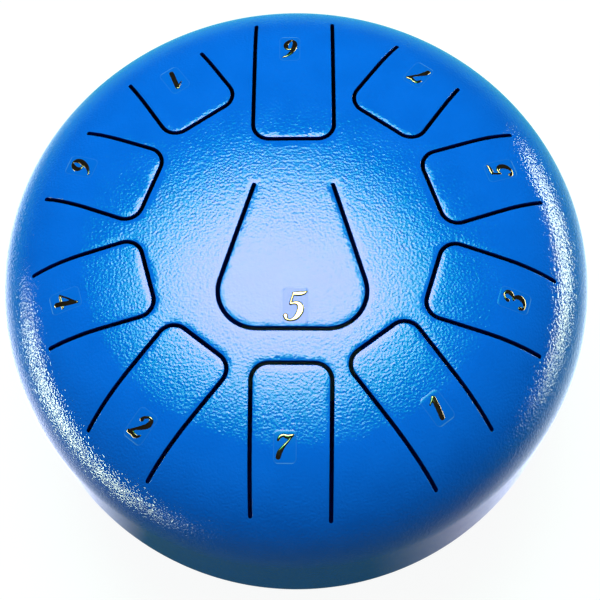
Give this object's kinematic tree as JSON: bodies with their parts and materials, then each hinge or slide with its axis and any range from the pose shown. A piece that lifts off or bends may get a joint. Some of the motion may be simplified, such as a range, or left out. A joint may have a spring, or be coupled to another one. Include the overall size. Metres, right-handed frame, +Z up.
{
  "type": "steel tongue drum",
  "caption": "Round steel tongue drum: two domed shells joined at the equator, a ring of slit-cut tongues round a large centre tongue, number labels, and a sound hole and rubber feet below.",
  "frame": {"origin": "under the middle of the drum, on the surface that its feet stand on", "axes": "+Z up along the drum's axis; -Y towards the player, where the long tongue of the low 7 lies; +X to the player's right"},
  "size_m": [0.254, 0.254, 0.1559],
  "materials": {
    "blue_powder_coat": "glossy blue powder coat with a fine orange-peel grain, over sheet steel",
    "foot_rubber": "matt black rubber",
    "gold_foil": "raised number in mirror gold foil, on a patch of clear film"
  },
  "bodies": {
    "root": {"upper_shell": "blue_powder_coat", "lower_shell": "blue_powder_coat", "seam_weld": "blue_powder_coat", "foot_back": "foot_rubber", "foot_left": "foot_rubber", "foot_right": "foot_rubber", "label_low_5": "gold_foil", "label_low_7": "gold_foil", "label_1": "gold_foil", "label_3": "gold_foil", "label_5": "gold_foil", "label_7": "gold_foil", "label_low_6": "gold_foil", "label_high_1": "gold_foil", "label_6": "gold_foil", "label_4": "gold_foil", "label_2": "gold_foil"}
  },
  "joints": []
}
